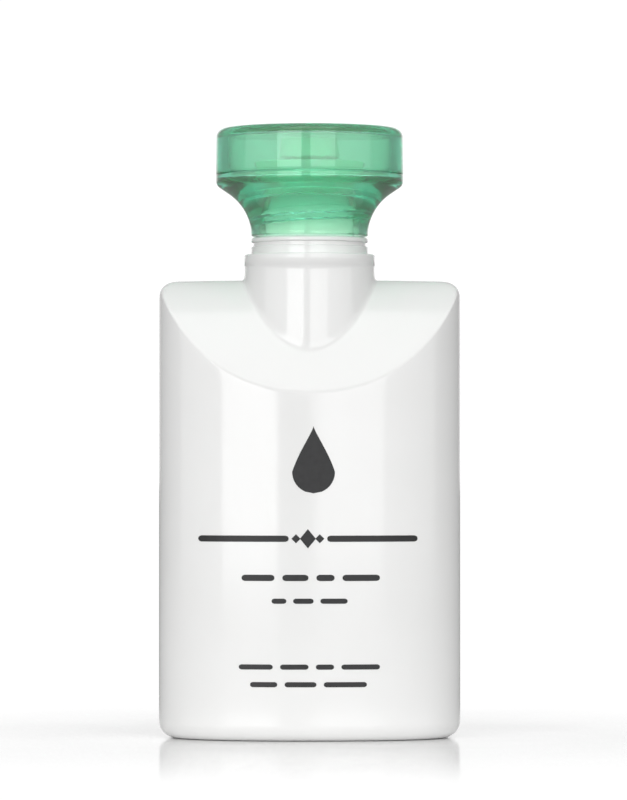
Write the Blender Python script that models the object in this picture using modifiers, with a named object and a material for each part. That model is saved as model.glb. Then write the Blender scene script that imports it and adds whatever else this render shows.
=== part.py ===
"""A travel-size aftershave bottle: a white blow-moulded bottle with a flared green flip-top closure.

The bottle stands on the plane z = 0, centred on the Z axis, with its front face towards -Y.
All sizes are in metres.
"""

import math

import bmesh
import bpy

GAP = 0.0003  # between pieces that touch
WELD = 0.000001
TURN_WELD = 0.00001
OVERCUT = 0.0020  # how far a cutter runs past the face it leaves by

# Bottle body: an oval prism with rounded rims, its top cut by a vault that runs along X
BODY_HALF_WIDTH = 0.0270
BODY_HALF_DEPTH = 0.0158
PLAN_POWER = 2.25
BODY_TOP = 0.0820
RIM_ROUND = 0.0031
RIDGE_Z = 0.0818
VAULT_DROP = 0.0126
VAULT_REACH = 0.01166
VAULT_POWER = 1.62
WALL = 0.0011
CAVITY_TOP = 0.08057
VAULT_REACH_INSIDE = 0.01116
FLOOR = 0.0018
FOOT_WIDTH = 0.0056
FOOT_RECESS = 0.0005

# Collar and neck, turned about Z
COLLAR_RADIUS = 0.01165
COLLAR_TOP = 0.0864
RING_RADIUS = 0.01045
GROOVE_RADIUS = 0.01005
GROOVE_LOW = 0.0879
GROOVE_HIGH = 0.0886
BEAD_TOP = 0.0895
NECK_RADIUS = 0.00795
NECK_BORE = 0.0059
NECK_TOP = 0.1007
NECK_ROOT = 0.0600
SHOULDER_INSIDE = 0.0840
SHOULDER_SLOPE = 0.8
BORE_LOW = 0.0560
CHAMFER = 0.0003

# Screw thread, right-handed
PITCH = 0.003175
THREAD_TURNS = 1.5
THREAD_START = 0.0926
NECK_THREAD = 0.00085
SKIRT_THREAD = 0.00075
SKIRT_BORE = 0.00915
THREAD_TIP = 0.62  # share of full section at a thread's end
THREAD_TAPER = 0.13  # share regained at each point from there

# Closure
CAP_RADIUS = 0.0168
SKIRT_FOOT = 0.0898
SKIRT_FOOT_RADIUS = 0.01046
FLARE_RADIUS = 0.0091
FLARE_TURN = math.radians(55.7)
FLARE_EDGE = 0.0015
PARTING_Z = 0.1008
CAP_WALL = 0.0022
TRAY_FLOOR = 0.0999
TRAY_STEP = 0.0982
INSERT_RADIUS = 0.0100
INSERT_WALL = 0.0009
DECK_TOP = 0.1030
DECK_THICKNESS = 0.0010
ORIFICE_RADIUS = 0.0015
TUBE_RADIUS = 0.0054
TUBE_WALL = 0.0008
LINER_LIFT = 0.00025
LINER_THICKNESS = 0.0008
LINER_INNER = 0.00585
LINER_OUTER = 0.0078

# Lid
LID_TOP = 0.1092
LID_EDGE = 0.0016
LID_CEILING = 0.1077
PLUG_FLANGE = 0.0007
PLUG_RING_TOP = 0.0051
PLUG_RING_FOOT = 0.0055
PLUG_RING_WALL = 0.0008
PLUG_RING_LOW = 0.1036
PIN_RADIUS = 0.00305
PIN_BORE = 0.0020
PIN_LOW = 0.1034
PIN_BORE_LOW = 0.1042
SPIGOT_RADIUS = 0.0011
SPIGOT_LOW = 0.1023

# Hinge at the back of the parting line
HINGE_Y = 0.0162
FLAT_Y = 0.01587
FLAT_LOW = 0.0975
FLAT_BLOCK_WIDTH = 0.0300
FLAT_BLOCK_DEPTH = 0.0040
FILM_HALF_WIDTH = 0.0050
FILM_LOW = 0.0989
FILM_HIGH = 0.1003

# Fineness
PLAN_POINTS = 88
VAULT_POINTS = 24
TURNED_STEPS = 48
ARC_POINTS = 7
HELIX_POINTS_PER_TURN = 24
HELIX_SIDES = 2
RIM_STEPS = 5
CAVITY_RIM_STEPS = 3
RIM_ANGLE = math.radians(50)

WHITE = (0.86, 0.87, 0.87)
GREEN = (0.06, 0.52, 0.32)
INSERT_GREEN = (0.16, 0.58, 0.38)
FOAM = (0.80, 0.81, 0.80)
WHITE_ROUGHNESS = 0.32
GREEN_ROUGHNESS = 0.15
INSERT_ROUGHNESS = 0.25
FOAM_ROUGHNESS = 0.85


def add_collection(name):
    made = bpy.data.collections.new(name)
    bpy.context.scene.collection.children.link(made)
    return made


def add_material(name, colour, roughness):
    made = bpy.data.materials.new(name)
    made.use_nodes = True
    shader = made.node_tree.nodes["Principled BSDF"]
    shader.inputs["Base Color"].default_value = (*colour, 1.0)
    shader.inputs["Roughness"].default_value = roughness
    shader.inputs["Metallic"].default_value = 0.0
    return made


def add_object(name, data, home):
    made = bpy.data.objects.new(name, data)
    home.objects.link(made)
    return made


def hide(cutter):
    """A cutter is kept as a wire guide, and is no part of the object."""
    cutter.hide_render = True
    cutter.display_type = "WIRE"
    return cutter


def as_mesh(curve_object):
    """Replaces a curve object with a welded mesh object in the same place."""
    bpy.context.view_layer.update()
    graph = bpy.context.evaluated_depsgraph_get()
    data = bpy.data.meshes.new_from_object(curve_object.evaluated_get(graph))
    shape = bmesh.new()
    shape.from_mesh(data)
    bmesh.ops.remove_doubles(shape, verts=shape.verts, dist=WELD)
    bmesh.ops.recalc_face_normals(shape, faces=shape.faces)
    shape.to_mesh(data)
    shape.free()
    name = curve_object.name
    home = curve_object.users_collection[0]
    place = curve_object.matrix_world.copy()
    bpy.data.objects.remove(curve_object, do_unlink=True)
    made = add_object(name, data, home)
    made.matrix_world = place
    return made


def prism(name, outline, length, home):
    """A closed outline extruded evenly along its local Z, as a mesh object."""
    curve = bpy.data.curves.new(name, "CURVE")
    curve.dimensions = "2D"
    curve.fill_mode = "BOTH"
    curve.extrude = length / 2
    spline = curve.splines.new("POLY")
    spline.points.add(len(outline) - 1)
    for point, (x, y) in zip(spline.points, outline):
        point.co = (x, y, 0.0, 1.0)
    spline.use_cyclic_u = True
    return as_mesh(add_object(name, curve, home))


def turned(name, profile, home):
    """A profile of (radius, z) turned about Z. It runs down the outer side and may end where it began."""
    ring = profile[0] == profile[-1]
    corners = profile[:-1] if ring else profile
    edges = [(i, i + 1) for i in range(len(corners) - 1)]
    if ring:
        edges.append((len(corners) - 1, 0))
    data = bpy.data.meshes.new(name)
    data.from_pydata([(r, 0.0, z) for r, z in corners], edges, [])
    made = add_object(name, data, home)
    screw = made.modifiers.new("turn", "SCREW")
    screw.steps = TURNED_STEPS
    screw.render_steps = TURNED_STEPS
    screw.use_merge_vertices = True
    screw.merge_threshold = TURN_WELD
    screw.use_smooth_shade = True
    return made


def helix(name, radius, tube, start_z, home):
    """A thread ridge of round section, thinned at both ends, rising anticlockwise."""
    count = round(THREAD_TURNS * HELIX_POINTS_PER_TURN) + 1
    curve = bpy.data.curves.new(name, "CURVE")
    curve.dimensions = "3D"
    curve.bevel_depth = tube
    curve.bevel_resolution = HELIX_SIDES
    curve.use_fill_caps = True
    spline = curve.splines.new("POLY")
    spline.points.add(count - 1)
    for i, point in enumerate(spline.points):
        turn = i / HELIX_POINTS_PER_TURN
        angle = 2 * math.pi * turn
        z = start_z + PITCH * turn
        point.co = (radius * math.cos(angle), radius * math.sin(angle), z, 1.0)
        from_end = min(i, count - 1 - i)
        point.radius = min(1.0, THREAD_TIP + THREAD_TAPER * from_end)
    return as_mesh(add_object(name, curve, home))


def combine(target, other, operation):
    step = target.modifiers.new(operation.lower(), "BOOLEAN")
    step.operation = operation
    step.solver = "EXACT"
    step.object = other


def round_rims(target, width, segments):
    """Rounds the two rims of a prism and leaves its near-flat side edges alone."""
    bevel = target.modifiers.new("rims", "BEVEL")
    bevel.width = width
    bevel.segments = segments
    bevel.limit_method = "ANGLE"
    bevel.angle_limit = RIM_ANGLE
    bevel.use_clamp_overlap = False


def superellipse(half_width, half_depth):
    points = []
    for i in range(PLAN_POINTS):
        angle = 2 * math.pi * i / PLAN_POINTS
        c = math.cos(angle)
        s = math.sin(angle)
        x = half_width * math.copysign(abs(c) ** (2 / PLAN_POWER), c)
        y = half_depth * math.copysign(abs(s) ** (2 / PLAN_POWER), s)
        points.append((x, y))
    return points


def arc(centre, radius, start, end):
    """Points of an arc about a (radius, z) centre, from one angle to another in radians."""
    points = []
    for i in range(ARC_POINTS):
        angle = start + (end - start) * i / (ARC_POINTS - 1)
        points.append((centre[0] + radius * math.cos(angle), centre[1] + radius * math.sin(angle)))
    return points


def vault(name, ridge, reach, home):
    """The prism under the vaulted shoulder: its top falls away to the front and back by a power law."""
    half = BODY_HALF_DEPTH + OVERCUT
    outline = []
    for i in range(2 * VAULT_POINTS + 1):
        y = half * (1 - i / VAULT_POINTS)
        drop = VAULT_DROP * (abs(y) / reach) ** VAULT_POWER
        outline.append((y, ridge - drop))
    outline.append((-half, -OVERCUT))
    outline.append((half, -OVERCUT))
    made = prism(name, outline, 2 * (BODY_HALF_WIDTH + OVERCUT), home)
    made.rotation_euler = (math.pi / 2, 0.0, math.pi / 2)
    return hide(made)


def upright_prism(name, half_width, half_depth, low, high, home):
    made = prism(name, superellipse(half_width, half_depth), high - low, home)
    made.location.z = (low + high) / 2
    return made


def neck_profile():
    return [
        (0.0, NECK_TOP),
        (NECK_RADIUS - CHAMFER, NECK_TOP),
        (NECK_RADIUS, NECK_TOP - CHAMFER),
        (NECK_RADIUS, BEAD_TOP),
        (RING_RADIUS - CHAMFER, BEAD_TOP),
        (RING_RADIUS, BEAD_TOP - CHAMFER),
        (RING_RADIUS, GROOVE_HIGH),
        (GROOVE_RADIUS, GROOVE_HIGH),
        (GROOVE_RADIUS, GROOVE_LOW),
        (RING_RADIUS, GROOVE_LOW),
        (RING_RADIUS, COLLAR_TOP),
        (COLLAR_RADIUS - CHAMFER, COLLAR_TOP),
        (COLLAR_RADIUS, COLLAR_TOP - CHAMFER),
        (COLLAR_RADIUS, NECK_ROOT),
        (0.0, NECK_ROOT),
    ]


def bore_profile():
    inside = COLLAR_RADIUS - WALL
    turn = inside - NECK_BORE
    return (
        [(0.0, NECK_TOP + OVERCUT), (NECK_BORE, NECK_TOP + OVERCUT)]
        + [(NECK_BORE, SHOULDER_INSIDE + SHOULDER_SLOPE * turn)]
        + [(inside, SHOULDER_INSIDE), (inside, BORE_LOW), (0.0, BORE_LOW)]
    )


def make_bottle(parts, cutters, plastic):
    shell = upright_prism("bottle_shell", BODY_HALF_WIDTH, BODY_HALF_DEPTH, 0.0, BODY_TOP, parts)
    shell.data.materials.append(plastic)
    round_rims(shell, RIM_ROUND, RIM_STEPS)
    combine(shell, vault("vault_outside", RIDGE_Z, VAULT_REACH, cutters), "INTERSECT")
    combine(shell, hide(turned("neck_solid", neck_profile(), cutters)), "UNION")
    thread = helix("neck_thread", NECK_RADIUS, NECK_THREAD, THREAD_START, cutters)
    combine(shell, hide(thread), "UNION")

    half_width = BODY_HALF_WIDTH - WALL
    half_depth = BODY_HALF_DEPTH - WALL
    cavity = upright_prism("cavity", half_width, half_depth, FLOOR, CAVITY_TOP, cutters)
    round_rims(hide(cavity), RIM_ROUND - WALL, CAVITY_RIM_STEPS)
    combine(cavity, vault("vault_inside", RIDGE_Z - WALL, VAULT_REACH_INSIDE, cutters), "INTERSECT")
    combine(shell, cavity, "DIFFERENCE")
    combine(shell, hide(turned("bore", bore_profile(), cutters)), "DIFFERENCE")

    recess = upright_prism(
        "foot_recess",
        BODY_HALF_WIDTH - FOOT_WIDTH,
        BODY_HALF_DEPTH - FOOT_WIDTH,
        -OVERCUT,
        FOOT_RECESS,
        cutters,
    )
    combine(shell, hide(recess), "DIFFERENCE")


def make_liner(parts, foam):
    low = NECK_TOP + LINER_LIFT
    high = low + LINER_THICKNESS
    profile = [(LINER_OUTER, high), (LINER_OUTER, low), (LINER_INNER, low), (LINER_INNER, high)]
    liner = turned("neck_liner", profile + profile[:1], parts)
    liner.data.materials.append(foam)


def flare_profile():
    """The skirt's outer side from its rim down to its foot: a rounded edge, a slope and a hollow curve."""
    sweep = 1 - math.cos(FLARE_TURN)
    slope = CAP_RADIUS - SKIRT_FOOT_RADIUS - (FLARE_RADIUS + FLARE_EDGE) * sweep
    rise = (FLARE_RADIUS + FLARE_EDGE) * math.sin(FLARE_TURN) + slope / math.tan(FLARE_TURN)
    edge = arc((CAP_RADIUS - FLARE_EDGE, SKIRT_FOOT + rise), FLARE_EDGE, 0.0, -FLARE_TURN)
    centre = (SKIRT_FOOT_RADIUS + FLARE_RADIUS, SKIRT_FOOT)
    return edge + arc(centre, FLARE_RADIUS, math.pi - FLARE_TURN, math.pi)


def hinge_flat(name, low, high, home):
    """The block that cuts the closure's round back to a chord, where the hinge film lies."""
    bpy.ops.mesh.primitive_cube_add(size=1.0)
    block = bpy.context.object
    block.name = name
    block.scale = (FLAT_BLOCK_WIDTH, FLAT_BLOCK_DEPTH, high - low)
    block.location = (0.0, FLAT_Y + FLAT_BLOCK_DEPTH / 2, (low + high) / 2)
    for owner in list(block.users_collection):
        owner.objects.unlink(block)
    home.objects.link(block)
    return hide(block)


def make_skirt(parts, cutters, plastic):
    rim = PARTING_Z - GAP / 2
    inner = CAP_RADIUS - CAP_WALL
    profile = (
        [(CAP_RADIUS, rim)]
        + flare_profile()
        + [
            (SKIRT_BORE, SKIRT_FOOT),
            (SKIRT_BORE, TRAY_STEP),
            (INSERT_RADIUS + GAP, TRAY_STEP),
            (INSERT_RADIUS + GAP, TRAY_FLOOR),
            (inner, TRAY_FLOOR),
            (inner, rim),
            (CAP_RADIUS, rim),
        ]
    )
    skirt = turned("closure_skirt", profile, parts)
    skirt.data.materials.append(plastic)
    thread = helix("skirt_thread", SKIRT_BORE, SKIRT_THREAD, THREAD_START - PITCH / 2, cutters)
    combine(skirt, hide(thread), "UNION")
    combine(skirt, hinge_flat("skirt_flat", FLAT_LOW, PARTING_Z + OVERCUT, cutters), "DIFFERENCE")


def make_insert(parts, plastic):
    under = DECK_TOP - DECK_THICKNESS
    low = TRAY_STEP + GAP
    inner = INSERT_RADIUS - INSERT_WALL
    tube_inner = TUBE_RADIUS - TUBE_WALL
    profile = [
        (INSERT_RADIUS, DECK_TOP),
        (INSERT_RADIUS, low),
        (inner, low),
        (inner, under),
        (TUBE_RADIUS, under),
        (TUBE_RADIUS, low),
        (tube_inner, low),
        (tube_inner, under),
        (ORIFICE_RADIUS, under),
        (ORIFICE_RADIUS, DECK_TOP),
        (INSERT_RADIUS, DECK_TOP),
    ]
    insert = turned("closure_insert", profile, parts)
    insert.data.materials.append(plastic)


def make_film(parts, plastic):
    bpy.ops.mesh.primitive_cube_add(size=1.0)
    film = bpy.context.object
    film.name = "hinge_film"
    depth = CAP_RADIUS - FLAT_Y - GAP
    for corner in film.data.vertices:
        corner.co.x *= 2 * FILM_HALF_WIDTH
        corner.co.y *= depth
        corner.co.z *= FILM_HIGH - FILM_LOW
    film.location = (0.0, CAP_RADIUS - depth / 2, (FILM_LOW + FILM_HIGH) / 2)
    for owner in list(film.users_collection):
        owner.objects.unlink(film)
    parts.objects.link(film)
    film.data.materials.append(plastic)


def on_hinge(piece, hinge):
    """Hangs a piece from the hinge's empty without moving it."""
    piece.parent = hinge
    piece.matrix_parent_inverse = hinge.matrix_world.inverted()


def make_lid(parts, cutters, plastic, soft, hinge):
    rim = PARTING_Z + GAP / 2
    inner = CAP_RADIUS - CAP_WALL
    edge = arc((CAP_RADIUS - LID_EDGE, LID_TOP - LID_EDGE), LID_EDGE, math.pi / 2, 0.0)
    profile = (
        [(0.0, LID_TOP)]
        + edge
        + [(CAP_RADIUS, rim), (inner, rim), (inner, LID_CEILING), (0.0, LID_CEILING)]
    )
    lid = turned("lid_shell", profile, parts)
    lid.data.materials.append(plastic)
    combine(lid, hinge_flat("lid_flat", PARTING_Z - OVERCUT, LID_TOP + OVERCUT, cutters), "DIFFERENCE")
    on_hinge(lid, hinge)

    top = LID_CEILING - GAP
    under = top - PLUG_FLANGE
    plug_profile = [
        (PLUG_RING_TOP, top),
        (PLUG_RING_FOOT, PLUG_RING_LOW),
        (PLUG_RING_FOOT - PLUG_RING_WALL, PLUG_RING_LOW),
        (PLUG_RING_TOP - PLUG_RING_WALL, under),
        (PIN_RADIUS, under),
        (PIN_RADIUS, PIN_LOW),
        (SPIGOT_RADIUS, PIN_LOW),
        (SPIGOT_RADIUS, SPIGOT_LOW),
        (0.0, SPIGOT_LOW),
    ]
    plug = turned("lid_plug", [(0.0, top)] + plug_profile, parts)
    core_profile = [(0.0, top + OVERCUT), (PIN_BORE, top + OVERCUT), (PIN_BORE, PIN_BORE_LOW)]
    core = turned("pin_core", core_profile + [(0.0, PIN_BORE_LOW)], cutters)
    combine(plug, hide(core), "DIFFERENCE")
    plug.data.materials.append(soft)
    on_hinge(plug, hinge)


def make_hinge_empty(parts):
    hinge = add_object("lid_hinge", None, parts)
    hinge.location = (0.0, HINGE_Y, PARTING_Z)
    bpy.context.view_layer.update()
    return hinge


def main():
    for thing in list(bpy.data.objects):
        bpy.data.objects.remove(thing, do_unlink=True)
    parts = add_collection("aftershave_bottle")
    cutters = add_collection("cutters")
    white = add_material("white_plastic", WHITE, WHITE_ROUGHNESS)
    green = add_material("green_plastic", GREEN, GREEN_ROUGHNESS)
    inner = add_material("insert_green_plastic", INSERT_GREEN, INSERT_ROUGHNESS)
    foam = add_material("liner_foam", FOAM, FOAM_ROUGHNESS)

    make_bottle(parts, cutters, white)
    make_liner(parts, foam)
    make_skirt(parts, cutters, green)
    make_insert(parts, inner)
    make_film(parts, green)
    make_lid(parts, cutters, green, inner, make_hinge_empty(parts))


main()
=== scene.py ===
# %% [markdown]
# # A travel bottle of aftershave balm
#
# The bottle is one blow-moulded shell in white plastic. Its body is oval in plan, its
# shoulder is a smooth barrel vault, and a round collar grows out of the vault to carry the
# neck. A thick, clear green closure screws on the neck and flips open at the back.
#
# This lesson loads the engineering model, which has the true sizes and the joints, and
# dresses it with fine meshes and node materials. Every mesh is worked out from a few sizes,
# so a reader can change a number and see what it does.

import math

import bpy
import numpy as np
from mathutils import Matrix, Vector


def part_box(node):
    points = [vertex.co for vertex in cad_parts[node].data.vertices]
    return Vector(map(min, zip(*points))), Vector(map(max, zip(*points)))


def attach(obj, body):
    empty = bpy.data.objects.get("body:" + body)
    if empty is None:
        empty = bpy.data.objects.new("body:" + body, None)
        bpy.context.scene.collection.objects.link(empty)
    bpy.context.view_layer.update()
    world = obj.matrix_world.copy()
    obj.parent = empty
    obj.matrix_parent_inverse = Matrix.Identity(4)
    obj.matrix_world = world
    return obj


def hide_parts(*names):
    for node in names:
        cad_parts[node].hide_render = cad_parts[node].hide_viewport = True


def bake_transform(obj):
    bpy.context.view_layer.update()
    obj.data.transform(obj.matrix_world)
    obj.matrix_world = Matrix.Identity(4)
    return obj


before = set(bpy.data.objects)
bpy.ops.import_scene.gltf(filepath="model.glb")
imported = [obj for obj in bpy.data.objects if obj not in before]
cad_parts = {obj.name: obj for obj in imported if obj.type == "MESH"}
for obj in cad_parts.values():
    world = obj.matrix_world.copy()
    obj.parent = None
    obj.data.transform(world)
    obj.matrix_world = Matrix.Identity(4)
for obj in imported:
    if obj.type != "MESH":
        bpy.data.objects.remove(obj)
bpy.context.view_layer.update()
print("nodes:", sorted(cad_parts))

# %% [markdown]
# ## Sizes taken from the frame
#
# The fine meshes have to sit exactly where the engineering solids sit. Their main sizes
# are therefore read from the boxes of those solids, not typed in a second time.

# %% Read the main sizes
shell_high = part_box("bottle_shell")[1]
lid_low, lid_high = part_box("lid_shell")
skirt_low, skirt_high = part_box("closure_skirt")
insert_low, insert_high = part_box("closure_insert")
liner_low, liner_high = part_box("neck_liner")
plug_low, plug_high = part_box("lid_plug")
film_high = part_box("hinge_film")[1]

half_width = shell_high.x
half_depth = shell_high.y
neck_top = shell_high.z
cap_radius = lid_high.x
lid_top = lid_high.z
skirt_foot = skirt_low.z
parting = (skirt_high.z + lid_low.z) / 2
hinge_flat_y = lid_high.y
for name, size in (("body width", 2 * half_width), ("body depth", 2 * half_depth)):
    print(f"{name} {1000 * size:.1f} mm")
for name, z in (("neck top", neck_top), ("parting", parting), ("lid top", lid_top)):
    print(f"{name} at {1000 * z:.1f} mm")

# %% [markdown]
# ## The camera
#
# A bottle looks right from far away through a long lens, level with about half its
# height, so that its sides stay parallel. The camera stands at that height and looks a
# little above it, which puts more room over the closure than under the base.

# %% Place the camera
CAMERA_DISTANCE = 0.88
CAMERA_HEIGHT = 0.0514
AIM = Vector((0.0007, 0.0, 0.0604))
FIELD_HEIGHT = 0.1435
SENSOR_MM = 36.0

camera_data = bpy.data.cameras.new("studio_camera")
camera_data.sensor_width = SENSOR_MM
camera_data.lens = SENSOR_MM * CAMERA_DISTANCE / FIELD_HEIGHT
camera = bpy.data.objects.new("studio_camera", camera_data)
bpy.context.scene.collection.objects.link(camera)
camera.location = (0.0, -CAMERA_DISTANCE, CAMERA_HEIGHT)
camera.rotation_euler = (AIM - camera.location).to_track_quat("-Z", "Y").to_euler()
bpy.context.scene.camera = camera
print(f"lens {camera_data.lens:.0f} mm at {CAMERA_DISTANCE} m")

# %% [markdown]
# ## Meshes made of rings
#
# Nearly every piece is a stack of closed rings with the same number of points: some are
# circles, some follow the oval body, and some blend from one to the other. Joining ring to
# ring gives clean four-sided faces that follow the form, which smooth shading and clear
# plastic both need. A stack either closes on itself, like a washer, or is capped at its
# two ends.

# %% Helpers for ring meshes
COLUMNS = 224
ANGLES = np.arange(COLUMNS) * 2 * np.pi / COLUMNS
COS = np.cos(ANGLES)
SIN = np.sin(ANGLES)


def circle(radius, z):
    """A level ring; radius and z are numbers, or arrays with one value per column."""
    return np.stack([radius * COS, radius * SIN, z + 0.0 * ANGLES], axis=1)


def piece(name, points, faces, sharp_degrees=35.0):
    """A mesh object with smooth shading, and creases only where the form really turns."""
    data = bpy.data.meshes.new(name)
    data.from_pydata([tuple(p) for p in points], [], faces)
    data.update()
    data.shade_smooth()
    data.set_sharp_from_angle(angle=math.radians(sharp_degrees))
    made = bpy.data.objects.new(name, data)
    bpy.context.scene.collection.objects.link(made)
    return made


def ring_stack(name, rings, closed, sharp_degrees=35.0):
    """Joins rings, each an array of points, into one skin. The outer side runs upwards."""
    count = len(rings)
    columns = len(rings[0])
    faces = []
    for i in range(count if closed else count - 1):
        low = i * columns
        high = ((i + 1) % count) * columns
        for j in range(columns):
            k = (j + 1) % columns
            faces.append((low + j, low + k, high + k, high + j))
    if not closed:
        faces.append(tuple(reversed(range(columns))))
        faces.append(tuple((count - 1) * columns + j for j in range(columns)))
    made = piece(name, np.concatenate(rings), faces, sharp_degrees)
    print(f"{name}: {len(faces)} faces")
    return made


def arc(centre, radius, start, end, count):
    """(radius, z) points on an arc, with angles in degrees from outward, turning up."""
    turns = np.radians(np.linspace(start, end, count))
    return [(centre[0] + radius * math.cos(a), centre[1] + radius * math.sin(a)) for a in turns]


def run(start, end, count):
    """Evenly spaced (radius, z) points from start up to, but not including, end."""
    steps = np.linspace(0.0, 1.0, count, endpoint=False)
    return [(start[0] + (end[0] - start[0]) * s, start[1] + (end[1] - start[1]) * s) for s in steps]


# %% [markdown]
# ## Node materials
#
# Moulded plastic is never one flat colour. Its gloss wanders slightly where the mould was
# polished, and its skin has a faint orange peel. A noise texture drives the roughness and
# the bump, and a second, larger noise shifts the colour by a few per cent.

# %% Helpers for node materials
NOISE_LOW = 0.3  # a noise seldom leaves the stretch between these two
NOISE_HIGH = 0.7


def material(name):
    made = bpy.data.materials.new(name)
    made.use_nodes = True
    return made, made.node_tree, made.node_tree.nodes["Principled BSDF"]


def noise(tree, scale, detail=3.0, stretch=(1.0, 1.0, 1.0)):
    """A noise texture in object coordinates, in features per metre, and its Fac socket."""
    place = tree.nodes.new("ShaderNodeTexCoord")
    mapping = tree.nodes.new("ShaderNodeMapping")
    mapping.inputs["Scale"].default_value = stretch
    texture = tree.nodes.new("ShaderNodeTexNoise")
    texture.inputs["Scale"].default_value = scale
    texture.inputs["Detail"].default_value = detail
    tree.links.new(place.outputs["Object"], mapping.inputs["Vector"])
    tree.links.new(mapping.outputs["Vector"], texture.inputs["Vector"])
    return texture.outputs["Fac"]


def spread(tree, factor, low, high):
    """Maps a noise, which stays near the middle, onto the range low to high."""
    node = tree.nodes.new("ShaderNodeMapRange")
    node.inputs["From Min"].default_value = NOISE_LOW
    node.inputs["From Max"].default_value = NOISE_HIGH
    node.inputs["To Min"].default_value = low
    node.inputs["To Max"].default_value = high
    tree.links.new(factor, node.inputs["Value"])
    return node.outputs["Result"]


def two_tone(tree, factor, first, second):
    """Blends two colours by a noise."""
    ramp = tree.nodes.new("ShaderNodeValToRGB")
    ramp.color_ramp.elements[0].position = NOISE_LOW
    ramp.color_ramp.elements[0].color = (*first, 1.0)
    ramp.color_ramp.elements[1].position = NOISE_HIGH
    ramp.color_ramp.elements[1].color = (*second, 1.0)
    tree.links.new(factor, ramp.inputs["Fac"])
    return ramp.outputs["Color"]


def bump(tree, height, depth, strength=1.0):
    """A normal from a height field whose full range is depth metres."""
    node = tree.nodes.new("ShaderNodeBump")
    node.inputs["Strength"].default_value = strength
    node.inputs["Distance"].default_value = depth
    tree.links.new(height, node.inputs["Height"])
    return node.outputs["Normal"]


# %% [markdown]
# ### White bottle plastic
#
# The shell is white polyethylene blown in a polished mould. It is glossy, with very fine
# orange peel, and faint upright streaks where the hot tube of plastic came down through
# the die. The streaks are a noise stretched along Z, so they run up the bottle.

# %% White plastic
WHITE_TONES = ((0.812, 0.812, 0.805), (0.830, 0.830, 0.824))
WHITE_ROUGHNESS = (0.09, 0.13)
STREAK_STRETCH = (1.0, 1.0, 0.03)
WHITE_PEEL_DEPTH = 0.000004
POLYETHYLENE_IOR = 1.56


def white_plastic():
    made, tree, shader = material("white_polyethylene")
    clouds = noise(tree, 60.0, 2.0)
    tree.links.new(two_tone(tree, clouds, *WHITE_TONES), shader.inputs["Base Color"])
    streaks = noise(tree, 900.0, 2.0, STREAK_STRETCH)
    tree.links.new(spread(tree, streaks, *WHITE_ROUGHNESS), shader.inputs["Roughness"])
    peel = noise(tree, 1400.0, 3.0)
    tree.links.new(bump(tree, peel, WHITE_PEEL_DEPTH, 0.6), shader.inputs["Normal"])
    shader.inputs["IOR"].default_value = POLYETHYLENE_IOR
    return made


WHITE = white_plastic()
print("made", WHITE.name)

# %% [markdown]
# ### Green closure plastics
#
# The closure is moulded in plastic tinted right through. Its colour is a matter of depth:
# a thin wall is pale mint, and where the eye looks along a wall it is a deeper green. A
# surface colour can't do that, so the shader is mostly clear and the green is a volume
# absorption, which takes red fastest, then blue. Each of the three absorptions is one
# minus the colour, times the density, for each metre of plastic. The share that isn't
# clear gives the slight milkiness of the plastic.
#
# The insert and the plug are moulded in a milkier mix, so they show through the wall as
# pale shapes. A mould's core is less well polished than its cavity, and the top of the
# lid is satin, so that finger marks don't show. A point attribute named haze marks such
# rings, and each unit of it adds HAZE_STEP to the roughness.

# %% Green plastic
HAZE_STEP = 0.05
CORE_HAZE = 1.0
SATIN_HAZE = 5.0
GREEN_PEEL_DEPTH = 0.000002
ACRYLIC_IOR = 1.49


def green_plastic(name, clear_share, absorbed_per_mm, tones, rough):
    """Tinted plastic; absorbed_per_mm is the natural rate for red, green and blue."""
    made, tree, shader = material(name)
    clouds = noise(tree, 90.0, 2.0)
    tree.links.new(two_tone(tree, clouds, *tones), shader.inputs["Base Color"])
    haze = noise(tree, 500.0, 2.0)
    marked = tree.nodes.new("ShaderNodeAttribute")
    marked.attribute_name = "haze"
    total = tree.nodes.new("ShaderNodeMath")
    total.operation = "MULTIPLY_ADD"
    total.inputs[1].default_value = HAZE_STEP
    tree.links.new(marked.outputs["Fac"], total.inputs[0])
    tree.links.new(spread(tree, haze, *rough), total.inputs[2])
    tree.links.new(total.outputs["Value"], shader.inputs["Roughness"])
    peel = noise(tree, 700.0, 2.0)
    tree.links.new(bump(tree, peel, GREEN_PEEL_DEPTH, 0.5), shader.inputs["Normal"])
    shader.inputs["IOR"].default_value = ACRYLIC_IOR
    shader.inputs["Transmission Weight"].default_value = clear_share
    density = 1000 * max(absorbed_per_mm)
    absorption = tree.nodes.new("ShaderNodeVolumeAbsorption")
    share = [1 - 1000 * a / density for a in absorbed_per_mm]
    absorption.inputs["Color"].default_value = (*share, 1.0)
    absorption.inputs["Density"].default_value = density
    tree.links.new(absorption.outputs["Volume"], tree.nodes["Material Output"].inputs["Volume"])
    return made


CLOSURE_TONES = ((0.80, 0.84, 0.72), (0.84, 0.86, 0.75))
INSERT_TONES = ((0.72, 0.92, 0.80), (0.76, 0.94, 0.83))
CLOSURE_TINT = (0.30, 0.048, 0.088)
INSERT_TINT = (0.08, 0.010, 0.030)
GREEN = green_plastic("clear_green_plastic", 0.90, CLOSURE_TINT, CLOSURE_TONES, (0.03, 0.07))
INSERT_GREEN = green_plastic("milky_green_plastic", 0.60, INSERT_TINT, INSERT_TONES, (0.10, 0.15))


def hazy_rings(made, *spans):
    """Marks spans of a piece's rings, each (first, count, amount), as hazier than the rest."""
    mark = made.data.attributes.new("haze", "FLOAT", "POINT")
    values = np.zeros(len(made.data.vertices))
    for first, count, amount in spans:
        values[first * COLUMNS : (first + count) * COLUMNS] = amount
    mark.data.foreach_set("value", values)


print("made", GREEN.name, "and", INSERT_GREEN.name)

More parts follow.
